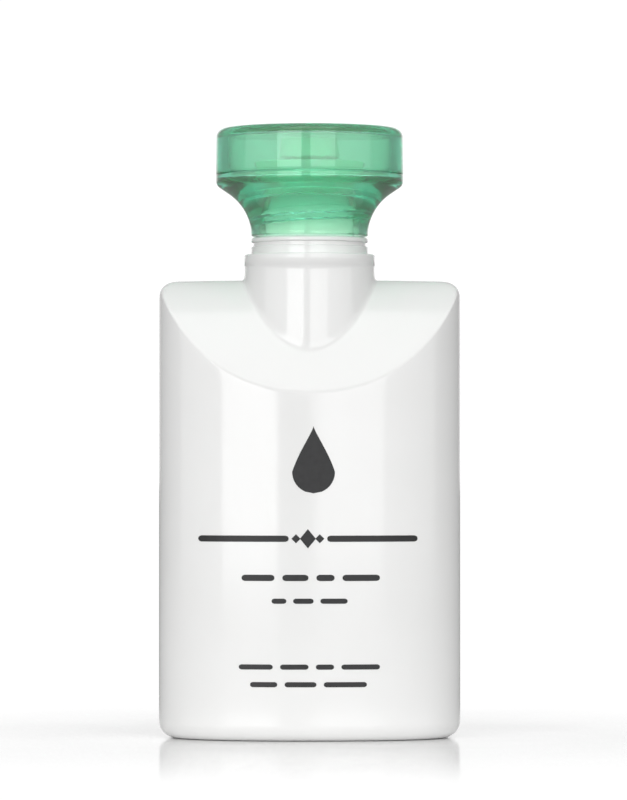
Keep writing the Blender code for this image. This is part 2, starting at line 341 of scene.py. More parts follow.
# %% [markdown]
# ### Foam and ink
#
# The seal in the closure is a ring punched from closed-cell foam sheet: matt white, with
# tiny cells that a Voronoi texture gives. The print on the front is a thin screen-printed
# ink, nearly black, a little glossier where it lies thick.

# %% Foam and ink
FOAM_TONES = ((0.80, 0.81, 0.80), (0.90, 0.90, 0.89))
FOAM_ROUGHNESS = 0.85
CELLS_PER_METRE = 5200.0
CELL_DEPTH = 0.00003
INK_TONES = ((0.008, 0.008, 0.009), (0.018, 0.018, 0.019))
INK_ROUGHNESS = (0.34, 0.52)
INK_GRAIN_DEPTH = 0.000004


def seal_foam():
    made, tree, shader = material("closed_cell_foam")
    place = tree.nodes.new("ShaderNodeTexCoord")
    cells = tree.nodes.new("ShaderNodeTexVoronoi")
    cells.inputs["Scale"].default_value = CELLS_PER_METRE
    tree.links.new(place.outputs["Object"], cells.inputs["Vector"])
    height = cells.outputs["Distance"]
    tree.links.new(two_tone(tree, height, *FOAM_TONES), shader.inputs["Base Color"])
    tree.links.new(bump(tree, height, CELL_DEPTH), shader.inputs["Normal"])
    shader.inputs["Roughness"].default_value = FOAM_ROUGHNESS
    return made


def screen_ink():
    made, tree, shader = material("black_screen_ink")
    patches = noise(tree, 700.0, 4.0)
    tree.links.new(two_tone(tree, patches, *INK_TONES), shader.inputs["Base Color"])
    tree.links.new(spread(tree, patches, *INK_ROUGHNESS), shader.inputs["Roughness"])
    grain = noise(tree, 4000.0, 2.0)
    tree.links.new(bump(tree, grain, INK_GRAIN_DEPTH), shader.inputs["Normal"])
    return made


FOAM = seal_foam()
INK = screen_ink()
print("made", FOAM.name, "and", INK.name)

# %% [markdown]
# ## The form of the body
#
# In plan the body is an oval a little squarer than an ellipse, called a superellipse. The
# shoulder is one smooth vault: it falls away to the front and back by a power law and stays
# almost level along the width. Where the upright wall meets the vault there is a crease,
# which from the front reads as a wide smile. Four short functions hold this form: the
# oval, the oval moved inwards, the height of the vault, and a level ring.

# %% Functions of the body's form
PLAN_POWER = 2.25
RIDGE_Z = 0.0816
RIDGE_CROWN = 0.0003
VAULT_DROP = 0.0126
VAULT_REACH = 0.01166
VAULT_POWER = 1.62
VAULT_SOFT = 0.0010  # rounds the ridge, where a bare power law would be a line


def plan(half_x, half_y):
    """The oval, one point per column."""
    power = 2 / PLAN_POWER
    x = half_x * np.sign(COS) * np.abs(COS) ** power
    y = half_y * np.sign(SIN) * np.abs(SIN) ** power
    return x, y


def inset_plan(inset):
    """The outer oval moved inwards, square to itself."""
    x, y = plan(half_width, half_depth)
    nx = np.sign(x) * np.abs(x / half_width) ** (PLAN_POWER - 1) / half_width
    ny = np.sign(y) * np.abs(y / half_depth) ** (PLAN_POWER - 1) / half_depth
    size = np.hypot(nx, ny)
    return x - inset * nx / size, y - inset * ny / size


def vault(x, y):
    """The shoulder's height."""
    soft = (y * y + VAULT_SOFT**2) ** (VAULT_POWER / 2) - VAULT_SOFT**VAULT_POWER
    ridge_z = RIDGE_Z + RIDGE_CROWN * (1 - (x / half_width) ** 2)
    return ridge_z - VAULT_DROP * soft / VAULT_REACH**VAULT_POWER


def level_oval(inset, z):
    x, y = inset_plan(inset)
    return np.stack([x, y, z + 0.0 * x], axis=1)


print(f"the crease is lowest at z = {1000 * vault(0.0, half_depth):.1f} mm")

# %% [markdown]
# ## Base and wall
#
# The base is pushed up in the middle, so that the bottle stands on a narrow oval foot and
# doesn't rock. Its edge is a generous round. The wall above is dead straight, and ends just
# under the crease, at a height that changes from column to column.

# %% Rings of the base and wall
FOOT_ROUND = 0.0030
FOOT_INNER = 0.0056
PUSH_UP = 0.0005
CREASE_ROUND = 0.00032
END_ROUND = 0.0034
END_REACH = 0.0030
CENTRE = 0.03  # a flat disc is capped by a last small ring, this share of its size
FOOT_LIP = 0.0006
# Each step down to the foot: how far it lies inside the foot, and its share of the push-up.
FOOT_STEPS = ((0.0002, 0.7), (0.0, 0.2), (-0.0003, 0.0))

wall_x, wall_y = plan(half_width, half_depth)
crease_z = vault(wall_x, wall_y)
edge_round = CREASE_ROUND + (END_ROUND - CREASE_ROUND) * np.exp(-((wall_y / END_REACH) ** 2))

base_rings = []
inner_x, inner_y = inset_plan(FOOT_INNER + FOOT_LIP)
for share in np.linspace(CENTRE, 1.0, 7):
    middle = np.stack([share * inner_x, share * inner_y, PUSH_UP + 0.0 * inner_x], axis=1)
    base_rings.append(middle)
for inset, share in FOOT_STEPS:
    base_rings.append(level_oval(FOOT_INNER + inset, share * PUSH_UP))
for turn in np.radians(np.linspace(0.0, 90.0, 12)):
    inset = FOOT_ROUND * (1 - math.sin(turn))
    base_rings.append(level_oval(inset, FOOT_ROUND * (1 - math.cos(turn))))

wall_rings = []
for share in np.linspace(0.0, 1.0, 26)[1:]:
    z = FOOT_ROUND + share * (crease_z - edge_round - FOOT_ROUND)
    wall_rings.append(np.stack([wall_x, wall_y, z], axis=1))
print(len(base_rings), "base rings and", len(wall_rings), "wall rings")

# %% [markdown]
# ## Crease, vault and collar
#
# The crease is rounded to about a third of a millimetre, which catches a thin bright line,
# and opens to a full round at the two ends. Each rounded stretch is a short curve pulled
# towards the corner that it replaces. The vault's rings then change step by step from the
# oval to a circle, each lifted on the vault, and a soft hollow turns them up into the
# collar's wall.

# %% Rings of the shoulder
COLLAR_RADIUS = 0.01165
COLLAR_HOLLOW_OUT = 0.0005
COLLAR_HOLLOW_UP = 0.0016


def rounded(start, corner, end, count):
    """Rings that leave start towards corner and arrive at end, without start and end."""
    steps = np.linspace(0.0, 1.0, count + 2)[1:-1]
    return [(1 - s) ** 2 * start + 2 * s * (1 - s) * corner + s * s * end for s in steps]


UNIT_INSET = 0.001
near_x, near_y = inset_plan(UNIT_INSET)
rim_x = wall_x - (wall_x - near_x) * edge_round / UNIT_INSET
rim_y = wall_y - (wall_y - near_y) * edge_round / UNIT_INSET
vault_rim = np.stack([rim_x, rim_y, vault(rim_x, rim_y)], axis=1)
crease = np.stack([wall_x, wall_y, crease_z], axis=1)

hollow_x = (COLLAR_RADIUS + COLLAR_HOLLOW_OUT) * COS
hollow_y = (COLLAR_RADIUS + COLLAR_HOLLOW_OUT) * SIN
root_z = vault(COLLAR_RADIUS * COS, COLLAR_RADIUS * SIN)

shoulder_rings = rounded(wall_rings[-1], crease, vault_rim, 7) + [vault_rim]
for share in np.linspace(0.0, 1.0, 34)[1:]:
    x = rim_x + share * (hollow_x - rim_x)
    y = rim_y + share * (hollow_y - rim_y)
    shoulder_rings.append(np.stack([x, y, vault(x, y)], axis=1))
collar_foot = circle(COLLAR_RADIUS, root_z + COLLAR_HOLLOW_UP)
root = circle(COLLAR_RADIUS, root_z)
shoulder_rings += rounded(shoulder_rings[-1], root, collar_foot, 7) + [collar_foot]
print(len(shoulder_rings), "shoulder rings")

# %% [markdown]
# ## Neck rings and screw thread
#
# Above the collar are a low ring, a groove, a bead just under the closure's foot, and
# then the threaded neck. A thread could be swept and joined on, but it is simpler to let
# the turned wall itself swell: the ridge is a bump in the radius that climbs one pitch
# for each turn. It fades in and out over an eighth of a turn, as a real thread does.

# %% Rings of the collar, neck and thread
COLLAR_TOP = 0.0864
BAND_LOW = 0.0844
RING_RADIUS = 0.01045
GROOVE_RADIUS = 0.01005
NECK_RADIUS = 0.00795
BORE_RADIUS = 0.0059
PITCH = 0.003175
THREAD_START = 0.0926
THREAD_TURNS = 1.5
THREAD_FADE = 0.125  # turns over which the ridge rises and falls
THREAD_FLANK = 0.55  # share of the ridge's half width that slopes
NECK_RIDGE = 0.00085
NECK_RIDGE_FOOT = 0.00105
RING_STEP = 0.00016
CORNER = 0.00025
GROOVE_LOW = 0.0879
GROOVE_HIGH = 0.0886
BEAD_TOP = 0.0895
NECK_FOOT = 0.0900
HAIR = 0.00005
EASE = 0.0002
FILLET = 0.0003


def ridge(z, start_z, height, half_foot):
    """The thread's height above the wall at each column, for a ring at z."""
    total = np.zeros(COLUMNS)
    for lap in range(math.ceil(THREAD_TURNS) + 1):
        turns = ANGLES / (2 * np.pi) + lap
        away = np.abs(z - start_z - PITCH * turns) / half_foot
        flank = np.clip((1 - away) / THREAD_FLANK, 0.0, 1.0)
        ends = np.clip(np.minimum(turns, THREAD_TURNS - turns) / THREAD_FADE, 0.0, 1.0)
        smooth = flank * flank * (3 - 2 * flank)
        total = np.maximum(total, height * smooth * ends)
    return total


collar_rings = []
collar_start = root_z + COLLAR_HOLLOW_UP
for share in np.linspace(0.0, 1.0, 14)[1:]:
    collar_rings.append(circle(COLLAR_RADIUS, collar_start + share * (BAND_LOW - collar_start)))
band = [(COLLAR_RADIUS + HAIR, BAND_LOW + 0.00006)]
band += arc((COLLAR_RADIUS - CORNER, COLLAR_TOP - CORNER), CORNER + HAIR, 0, 90, 5)
band += [(RING_RADIUS + FILLET, COLLAR_TOP), (RING_RADIUS + HAIR, COLLAR_TOP + 0.00008)]
band += [(RING_RADIUS, COLLAR_TOP + FILLET)]
band += arc((RING_RADIUS - CORNER, GROOVE_LOW - CORNER), CORNER, 0, 90, 5)
band += [(GROOVE_RADIUS, GROOVE_LOW + HAIR), (GROOVE_RADIUS, GROOVE_HIGH - HAIR)]
band += [(RING_RADIUS - CORNER, GROOVE_HIGH)]
band += arc((RING_RADIUS - CORNER, GROOVE_HIGH + CORNER), CORNER, -90, 0, 5)
band += arc((RING_RADIUS - 2 * CORNER, BEAD_TOP - 2 * CORNER), 2 * CORNER, 0, 90, 7)
band += [(NECK_RADIUS + FILLET, BEAD_TOP), (NECK_RADIUS, BEAD_TOP + FILLET)]
for radius, z in band:
    collar_rings.append(circle(radius, z))

neck_rings = []
for z in np.arange(NECK_FOOT, neck_top - 2 * EASE, RING_STEP):
    swell = ridge(z, THREAD_START, NECK_RIDGE, NECK_RIDGE_FOOT)
    neck_rings.append(circle(NECK_RADIUS + swell, z))
lip = arc((NECK_RADIUS - FILLET, neck_top - FILLET), FILLET, 0, 90, 5)
lip += arc((BORE_RADIUS + EASE, neck_top - EASE), EASE, 90, 180, 4)
neck_rings += [circle(radius, z) for radius, z in lip]
print(len(collar_rings), "collar rings and", len(neck_rings), "neck rings")

# %% [markdown]
# ## The inside of the bottle
#
# The shell is hollow. Only the bore can ever be seen, when the closure is off, but a mesh
# that ends in mid-air isn't a real wall, so the skin goes on down the neck, opens out to
# the oval inside the body and closes at the floor.

# %% Rings of the inside, and the finished shell
WALL = 0.0011
FLOOR = 0.0018
FLOOR_ROUND = 0.0025
MOUTH = ((0.0075, 0.0868), (0.0098, 0.0851))  # (radius, height) where the bore opens out
WELL_FOOT = 0.0600
CHAMBER_TOP = 0.0590
well_radius = COLLAR_RADIUS - WALL

inside_rings = [circle(BORE_RADIUS, z) for z in (0.0985, 0.0950, 0.0915, 0.0885)]
inside_rings += [circle(radius, z) for radius, z in MOUTH]
inside_rings += [circle(well_radius, z) for z in (0.0835, 0.0760, 0.0680, 0.0610)]
for share in np.linspace(0.0, 1.0, 6)[1:]:
    outward = level_oval(WALL, CHAMBER_TOP)
    middle = circle(well_radius, WELL_FOOT)
    inside_rings.append(middle + share * (outward - middle))
inside_rings += [level_oval(WALL, z) for z in (0.0400, 0.0200, 0.0050)]
for turn in np.radians(np.linspace(0.0, 90.0, 6)[1:]):
    inset = WALL + FLOOR_ROUND * (1 - math.cos(turn))
    inside_rings.append(level_oval(inset, FLOOR + FLOOR_ROUND * (1 - math.sin(turn))))
floor_x, floor_y = inset_plan(WALL + FLOOR_ROUND)
floor_z = np.full(COLUMNS, FLOOR)
for share in (0.6, 0.3, CENTRE):
    inside_rings.append(np.stack([share * floor_x, share * floor_y, floor_z], axis=1))

bottle = ring_stack(
    "bottle_shell_fine",
    base_rings + wall_rings + shoulder_rings + collar_rings + neck_rings + inside_rings,
    closed=False,
    sharp_degrees=50.0,
)
bottle.data.materials.append(WHITE)
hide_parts("bottle_shell")
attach(bottle, "bottle")

# %% [markdown]
# ## The liner
#
# A foam washer lies between the lip of the neck and the underside of the dispensing deck.
# On the real bottle it is squeezed there, which makes the closure tight, so its edges
# bulge a little.

# %% Make the liner
LINER_INNER = 0.00585
BULGE = 0.0002
SHY = 0.00006  # how far the bulge falls back at BULGE_SHARE of the half height
BULGE_SHARE = 0.6
liner_outer = liner_high.x
liner_mid = (liner_low.z + liner_high.z) / 2
crushed = BULGE_SHARE * (liner_high.z - liner_low.z) / 2

liner_profile = run((LINER_INNER + BULGE, liner_low.z), (liner_outer - BULGE, liner_low.z), 4)
liner_profile += [(liner_outer - BULGE, liner_low.z), (liner_outer - SHY, liner_mid - crushed)]
liner_profile += [(liner_outer, liner_mid), (liner_outer - SHY, liner_mid + crushed)]
liner_profile += run((liner_outer - BULGE, liner_high.z), (LINER_INNER + BULGE, liner_high.z), 4)
liner_profile += [(LINER_INNER + BULGE, liner_high.z), (LINER_INNER + SHY, liner_mid + crushed)]
liner_profile += [(LINER_INNER, liner_mid), (LINER_INNER + SHY, liner_mid - crushed)]
liner = ring_stack("foam_liner", [circle(r, z) for r, z in liner_profile], closed=True)
liner.data.materials.append(FOAM)
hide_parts("neck_liner")
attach(liner, "liner")

# %% [markdown]
# ## The closure's skirt
#
# The skirt is the lower half of the closure. Outside, it flares in one hollow curve from
# the neck to the full width and turns over a small round edge to the parting line. Inside,
# it is bored and threaded to suit the neck, with a seat for the dispensing deck. It is
# one thick moulding, so the whole wall between the two is solid green plastic, and the
# thread shows through it. The back is cut to a short flat, where the hinge lies.

# %% Make the skirt
FLARE_TURN = 55.7
FLARE_RADIUS = 0.0091
FLARE_EDGE = 0.0015
SKIRT_FOOT_RADIUS = 0.01046
SKIRT_BORE = 0.00915
SKIRT_RIDGE = 0.00072
SKIRT_RIDGE_FOOT = 0.00095
CAP_WALL = 0.0022
TRAY_FLOOR = 0.0999
SEAT_Z = 0.0982
SEAT_RADIUS = 0.0103
PARTING_GAP = 0.00006  # half of the visible gap
SMALL = 0.00018
TINY = 0.0001
PLAIN = 0.001  # a plain stretch starts this far from the edge beside it


def flattened(ring):
    """Cuts a ring to the flat at the back."""
    cut = ring.copy()
    cut[:, 1] = np.minimum(cut[:, 1], hinge_flat_y)
    return cut


flare_angle = math.radians(FLARE_TURN)
sweep = 1 - math.cos(flare_angle)
slope = cap_radius - SKIRT_FOOT_RADIUS - (FLARE_RADIUS + FLARE_EDGE) * sweep
rise = (FLARE_RADIUS + FLARE_EDGE) * math.sin(flare_angle) + slope / math.tan(flare_angle)
skirt_rim = parting - PARTING_GAP
tray_wall = cap_radius - CAP_WALL

flare_centre = (SKIRT_FOOT_RADIUS + FLARE_RADIUS, skirt_foot)
outer = [(SKIRT_FOOT_RADIUS - SMALL, skirt_foot)]
outer += arc(flare_centre, FLARE_RADIUS, 179, 180 - FLARE_TURN, 22)
outer += arc((cap_radius - FLARE_EDGE, skirt_foot + rise), FLARE_EDGE, -FLARE_TURN, 0, 10)
outer += arc((cap_radius - SMALL, skirt_rim - SMALL), SMALL, 0, 90, 4)
inner = arc((tray_wall + SMALL, skirt_rim - SMALL), SMALL, 90, 180, 4)
inner += arc((tray_wall - 2 * SMALL, TRAY_FLOOR + 2 * SMALL), 2 * SMALL, 0, -90, 5)
inner += run((tray_wall - PLAIN, TRAY_FLOOR), (SEAT_RADIUS + EASE, TRAY_FLOOR), 4)
inner += [(SEAT_RADIUS + TINY, TRAY_FLOOR), (SEAT_RADIUS, TRAY_FLOOR - TINY)]
inner += [(SEAT_RADIUS, SEAT_Z), (SKIRT_BORE + TINY, SEAT_Z), (SKIRT_BORE, SEAT_Z - TINY)]

skirt_rings = [flattened(circle(r, z)) for r, z in outer + inner]
for z in np.arange(SEAT_Z - FILLET, skirt_foot + EASE, -RING_STEP):
    swell = ridge(z, THREAD_START - PITCH / 2, SKIRT_RIDGE, SKIRT_RIDGE_FOOT)
    skirt_rings.append(circle(SKIRT_BORE - swell, z))
skirt_rings.append(circle(SKIRT_BORE + TINY, skirt_foot))
skirt = ring_stack("closure_skirt_fine", skirt_rings, closed=True)
skirt.data.materials.append(GREEN)
hazy_rings(skirt, (len(outer), len(skirt_rings) - len(outer), CORE_HAZE))
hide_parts("closure_skirt")
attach(skirt, "closure")

# %% [markdown]
# ## The dispensing insert
#
# A shallow cup is pressed into the skirt's seat. Its raised deck has the small round
# orifice, with a dished lip that gathers the last drop, and a plug tube under it reaches
# down inside the neck.

# %% Make the insert
INSERT_WALL = 0.0009
DECK = 0.0010
DECK_EDGE = 0.0004
ORIFICE = 0.0015
TUBE_RADIUS = 0.0054
TUBE_WALL = 0.0008
# The deck's top from its edge inwards: each radius, and how far it lies under deck_top.
DISH = ((0.0066, 0.0), (0.0062, TINY), (0.0046, TINY), (0.0030, 0.00015), (0.0021, 0.0003))
LIP_DEPTH = 0.0006
insert_radius = insert_high.x
deck_top = insert_high.z
deck_under = deck_top - DECK
insert_foot = insert_low.z
tube_bore = TUBE_RADIUS - TUBE_WALL
cup_bore = insert_radius - INSERT_WALL

insert_profile = [(insert_radius - SMALL, insert_foot), (insert_radius, insert_foot + SMALL)]
insert_profile += arc((insert_radius - DECK_EDGE, deck_top - DECK_EDGE), DECK_EDGE, 0, 90, 6)
insert_profile += [(radius, deck_top - depth) for radius, depth in DISH]
insert_profile += arc((ORIFICE + EASE, deck_top - LIP_DEPTH), EASE, 90, 180, 4)
insert_profile += [(ORIFICE, deck_under + TINY), (ORIFICE + TINY, deck_under)]
insert_profile += [(tube_bore - EASE, deck_under), (tube_bore, deck_under - EASE)]
insert_profile += [(tube_bore, insert_foot + EASE)]
tube_tip = (TUBE_RADIUS - TUBE_WALL / 2, insert_foot + TUBE_WALL / 2)
insert_profile += arc(tube_tip, TUBE_WALL / 2, 180, 360, 8)
insert_profile += [(TUBE_RADIUS, deck_under - EASE), (TUBE_RADIUS + EASE, deck_under)]
insert_profile += [(cup_bore - EASE, deck_under), (cup_bore, deck_under - EASE)]
insert_profile += [(cup_bore, insert_foot)]
insert_rings = [circle(r, z) for r, z in insert_profile]
insert = ring_stack("closure_insert_fine", insert_rings, closed=True)
insert.data.materials.append(INSERT_GREEN)
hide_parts("closure_insert")
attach(insert, "closure")

# %% [markdown]
# ## The lid
#
# The lid is a thick, shallow cup with a flat top and a rounded corner. Its wall is about
# two millimetres, which is why its edges are so deep a green while its face is pale.

# %% Make the lid
LID_EDGE = 0.0016
LID_CEILING = 0.1077
LID_DRAFT = 0.00008
LID_CROWN = 0.0001
CEILING_ROUND = 0.0006
DISC_RINGS = 9
lid_rim = parting + PARTING_GAP
lid_shoulder = cap_radius - LID_DRAFT
ceiling_radius = tray_wall - CEILING_ROUND

lid_profile = arc((tray_wall + SMALL, lid_rim + SMALL), SMALL, 180, 270, 4)
lid_profile += arc((cap_radius - SMALL, lid_rim + SMALL), SMALL, -90, 0, 4)
lid_profile += run((cap_radius, lid_rim + PLAIN), (lid_shoulder, lid_top - LID_EDGE), 4)
edge_centre = (lid_shoulder - LID_EDGE, lid_top - LID_EDGE - LID_CROWN)
lid_profile += arc(edge_centre, LID_EDGE, 0, 86, 12)
lid_outer = [flattened(circle(r, z)) for r, z in lid_profile]
for share in np.linspace(1.0, CENTRE, DISC_RINGS)[1:]:
    radius = share * (cap_radius - LID_EDGE)
    lid_outer.append(circle(radius, lid_top - LID_CROWN * share * share))
lid_inner = []
for share in np.linspace(CENTRE, 1.0, DISC_RINGS)[:-1]:
    lid_inner.append(circle(share * ceiling_radius, LID_CEILING))
for r, z in arc((ceiling_radius, LID_CEILING - CEILING_ROUND), CEILING_ROUND, 90, 0, 6):
    lid_inner.append(circle(r, z))
lid_inner += [circle(tray_wall, z) for z in (0.1060, 0.1040, 0.1020)]
print("lid rings:", len(lid_outer), "outside,", len(lid_inner), "inside")

# %% [markdown]
# A lid's skin doesn't close on itself like a washer: it has a disc on top and a disc for
# the ceiling. Stacking the rings from the ceiling's middle, down the inside, round the
# rim, up the outside and back to the middle of the top gives one closed skin. The inside
# is marked as shaped by the core, and the flat top as satin.

# %% Close the lid's skin
lid = ring_stack("lid_shell_fine", lid_inner + lid_outer, closed=False)
lid.data.materials.append(GREEN)
top_start = len(lid_inner) + len(lid_profile)
top_count = len(lid_outer) - len(lid_profile)
hazy_rings(lid, (0, len(lid_inner), CORE_HAZE), (top_start, top_count, SATIN_HAZE))
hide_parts("lid_shell")
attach(lid, "lid")

# %% [markdown]
# ## The lid's plug
#
# Under the ceiling hang a ring and a pin. The pin's tip stops the orifice when the lid is
# shut, and the ring stiffens the middle of the lid. They show through the wall as a
# pale box round the pin.

# %% Make the plug
RING_TOP = 0.0051
RING_FOOT = 0.0055
RING_WALL = 0.0008
RING_LOW = 0.1036
PIN_RADIUS = 0.00305
PIN_LOW = 0.1034
PIN_BORE = 0.0020
PIN_BORE_LOW = 0.1045
PIN_BORE_EDGE = 0.0004
FLANGE = 0.0007
SPIGOT = 0.0011
AXIS = 0.00004  # a ring this small stands for the point on the axis
plug_top = plug_high.z
flange_z = plug_top - FLANGE
ring_inside = RING_TOP - RING_WALL
spigot_low = plug_low.z

plug_profile = [(AXIS, PIN_BORE_LOW), (PIN_BORE - PIN_BORE_EDGE, PIN_BORE_LOW)]
plug_profile += [(PIN_BORE, PIN_BORE_LOW + PIN_BORE_EDGE), (PIN_BORE, plug_top - TINY)]
plug_profile += [(PIN_BORE + TINY, plug_top), (RING_TOP - EASE, plug_top)]
plug_profile += [(RING_TOP, plug_top - EASE)]
plug_profile += run((RING_TOP, plug_top - RING_WALL), (RING_FOOT, RING_LOW + EASE), 4)
ring_tip = (RING_FOOT - RING_WALL / 2, RING_LOW + RING_WALL / 2)
plug_profile += arc(ring_tip, RING_WALL / 2, 0, -180, 8)
plug_profile += [(ring_inside, flange_z - EASE), (ring_inside - EASE, flange_z)]
plug_profile += [(PIN_RADIUS + EASE, flange_z), (PIN_RADIUS, flange_z - EASE)]
plug_profile += [(PIN_RADIUS, PIN_LOW + EASE), (PIN_RADIUS - EASE, PIN_LOW)]
plug_profile += [(SPIGOT + TINY, PIN_LOW), (SPIGOT, PIN_LOW - TINY)]
plug_profile += [(SPIGOT - TINY, spigot_low + FILLET), (SPIGOT - 2 * EASE, spigot_low)]
plug_profile += [(AXIS, spigot_low)]
plug_rings = [circle(r, z) for r, z in reversed(plug_profile)]
plug = ring_stack("lid_plug_fine", plug_rings, closed=False)
plug.data.materials.append(INSERT_GREEN)
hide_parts("lid_plug")
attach(plug, "lid")

# %% [markdown]
# ## The hinge film
#
# The lid and skirt are joined at the back by a thin strip of the same plastic, thinnest at
# the parting line, where it folds. A stiff strip would tear away from the lid as it opens,
# so the real one bends. Here the strip is made straight and upright, and it doesn't follow
# the lid.

# %% Make the hinge film
FILM_THICK = 0.00034
FILM_THIN = 0.00016
FILM_REACH = 0.0017
FILM_GAP = 0.00003
FOLD_REACH = 0.00035
# The film's section, as shares of its half width and of its thickness.
FILM_SECTION = ((-1, 0.0), (1, 0.0), (1, 0.75), (0.97, 1.0), (-0.97, 1.0), (-1, 0.75))
film_half = film_high.x
film_y = hinge_flat_y + FILM_GAP
sections = []
for z in np.linspace(parting - FILM_REACH, parting + FILM_REACH, 29):
    near = math.exp(-(((z - parting) / FOLD_REACH) ** 2))
    thick = FILM_THICK - (FILM_THICK - FILM_THIN) * near
    sections.append((z, thick))
film_rings = []
for z, thick in sections:
    film_rings.append(np.array([(x * film_half, film_y + y * thick, z) for x, y in FILM_SECTION]))
film = ring_stack("hinge_film_fine", film_rings, closed=False)
film.data.materials.append(GREEN)
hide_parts("hinge_film")
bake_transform(film)
print("film thinnest at", round(1000 * min(t for _, t in sections), 2), "mm")

# %% [markdown]
# ## The print
#
# The front carries a plain ornament and rows of dashes, printed in one pass of black ink.
# Real ink lies on the curved wall, so each mark is a fine sheet of quads laid on the
# oval's front and given a hair of thickness. A mark is described by its left and right
# edges at each height, which is enough for bars, lozenges and drops.

# %% Helpers for the print
INK_LIFT = 0.00001
INK_THICK = 0.00003
INK_COLUMN = 0.0006  # a mark's columns are no wider than this


def front_y(x):
    """Where the wall's front is at x."""
    return -half_depth * (1 - np.abs(x / half_width) ** PLAN_POWER) ** (1 / PLAN_POWER)


def ink_mark(low_z, high_z, left, right, rows):
    """Points and faces of a mark, whose edges are functions of its height from 0 to 1."""
    points = []
    faces = []
    widest = max(right(v) - left(v) for v in np.linspace(0, 1, rows))
    columns = max(3, int(widest / INK_COLUMN) + 2)
    for layer in (INK_LIFT + INK_THICK, -INK_LIFT):
        for v in np.linspace(0.0, 1.0, rows):
            for u in np.linspace(0.0, 1.0, columns):
                x = left(v) + u * (right(v) - left(v))
                points.append((x, float(front_y(x)) - layer, low_z + v * (high_z - low_z)))
    back = rows * columns
    for i in range(rows - 1):
        for j in range(columns - 1):
            a = i * columns + j
            faces.append((a, a + 1, a + columns + 1, a + columns))
            faces.append((back + a, back + a + columns, back + a + columns + 1, back + a + 1))
    around = list(range(columns)) + [i * columns + columns - 1 for i in range(1, rows)]
    around += [back - 2 - j for j in range(columns - 1)]
    around += [i * columns for i in range(rows - 2, 0, -1)]
    for a, b in zip(around, around[1:] + around[:1]):
        faces.append((a, back + a, back + b, b))
    return points, faces


print(f"the front lies at y = {1000 * float(front_y(0.0)):.1f} mm")

# %% [markdown]
# Every mark is even about its own upright middle line, so one function that gives half
# the width at each height is enough. A bar is a dash with round ends, a lozenge comes to
# a point on every side, and a drop is a half circle below that narrows to a point above.

# %% Shapes of the marks
DROP_BELLY = 0.32  # half the width of a drop, and the height of its middle, at unit height
DROP_POINT = 0.003
POINT = 0.004  # a pointed end is this share of the full width
MARK_ROWS = 9
DROP_ROWS = 41
marks = []


def add_mark(middle_x, low_z, height, half, rows):
    """An upright, symmetric mark; half(v) is half its width at height v from 0 to 1."""

    def left(v):
        return middle_x - half(v)

    def right(v):
        return middle_x + half(v)

    marks.append(ink_mark(low_z, low_z + height, left, right, rows))


def bar(middle_x, middle_z, length, height):
    """A dash with round ends."""

    def half(v):
        return length / 2 - height / 2 + height / 2 * math.sqrt(max(1 - (2 * v - 1) ** 2, 0.0))

    add_mark(middle_x, middle_z - height / 2, height, half, MARK_ROWS)


def lozenge(middle_x, middle_z, width, height):
    """A diamond."""

    def half(v):
        return width / 2 * max(1 - abs(2 * v - 1), POINT)

    add_mark(middle_x, middle_z - height / 2, height, half, MARK_ROWS)


def drop(middle_x, low_z, height):
    """A drop, round below and pointed above."""

    def half(v):
        if v < DROP_BELLY:
            return height * DROP_BELLY * math.sqrt(max(1 - (1 - v / DROP_BELLY) ** 2, 0.0))
        t = (v - DROP_BELLY) / (1 - DROP_BELLY)
        return height * DROP_BELLY * max((1 - t) ** 1.25 * (1 + 0.55 * t), DROP_POINT)

    add_mark(middle_x, low_z, height, half, DROP_ROWS)


def words(middle_z, height, left_x, lengths, gap):
    """A row of dashes, one for each word."""
    x = left_x
    for length in lengths:
        bar(x + length / 2, middle_z, length, height)
        x += length + gap


# %% [markdown]
# The layout is a drop over a rule with three lozenges in its middle, and under them four
# rows of dashes that stand for lines of words. The marks are joined into one mesh,
# because they are one coat of ink.

# %% Lay out the print
DROP_X = 0.0007
DROP_LOW = 0.0438
DROP_HEIGHT = 0.0118
RULE_X = -0.0003
RULE_Z = 0.0358
# Each row of dashes: its middle, its height, its left end, its dashes and their gap.
ROWS = (
    (0.0289, 0.0011, -0.0120, (0.0058, 0.0046, 0.0032, 0.0066), 0.0014),
    (0.0248, 0.0009, -0.0067, (0.0026, 0.0036, 0.0048), 0.0012),
    (0.0132, 0.0009, -0.0125, (0.0060, 0.0050, 0.0032, 0.0068), 0.0013),
    (0.0101, 0.0009, -0.0105, (0.0048, 0.0056, 0.0076), 0.0013),
)

drop(DROP_X, DROP_LOW, DROP_HEIGHT)
for side in (-1, 1):
    bar(RULE_X + side * 0.0114, RULE_Z, 0.0160, 0.0011)
    lozenge(RULE_X + side * 0.0021, RULE_Z, 0.0016, 0.0016)
lozenge(RULE_X, RULE_Z, 0.0028, 0.0034)
for row in ROWS:
    words(*row)

ink_points = []
ink_faces = []
for points, faces in marks:
    start = len(ink_points)
    ink_points += points
    ink_faces += [tuple(start + i for i in face) for face in faces]
print_ink = piece("front_print", ink_points, ink_faces)
print_ink.data.materials.append(INK)
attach(print_ink, "bottle")
print("print:", len(marks), "marks,", len(ink_faces), "faces")

# %% [markdown]
# ## Floor and surround
#
# The bottle stands on a pale, glossy board. Near the bottle the board mirrors it, and
# further off it is plain white, so that the scene has no horizon.
#
# White plastic wants a dim surround, or its edges vanish. Clear plastic shows what lies
# behind it: white straight on, and the dim sides where its edges bend the view, which
# makes them a deeper green. What stands behind the green would look dark, because its
# light crosses the plastic twice. So the surround has one level for rays off the outside
# of the bottle, another for rays that have passed through clear plastic, and a much
# brighter one for the light that falls on what stands behind it.

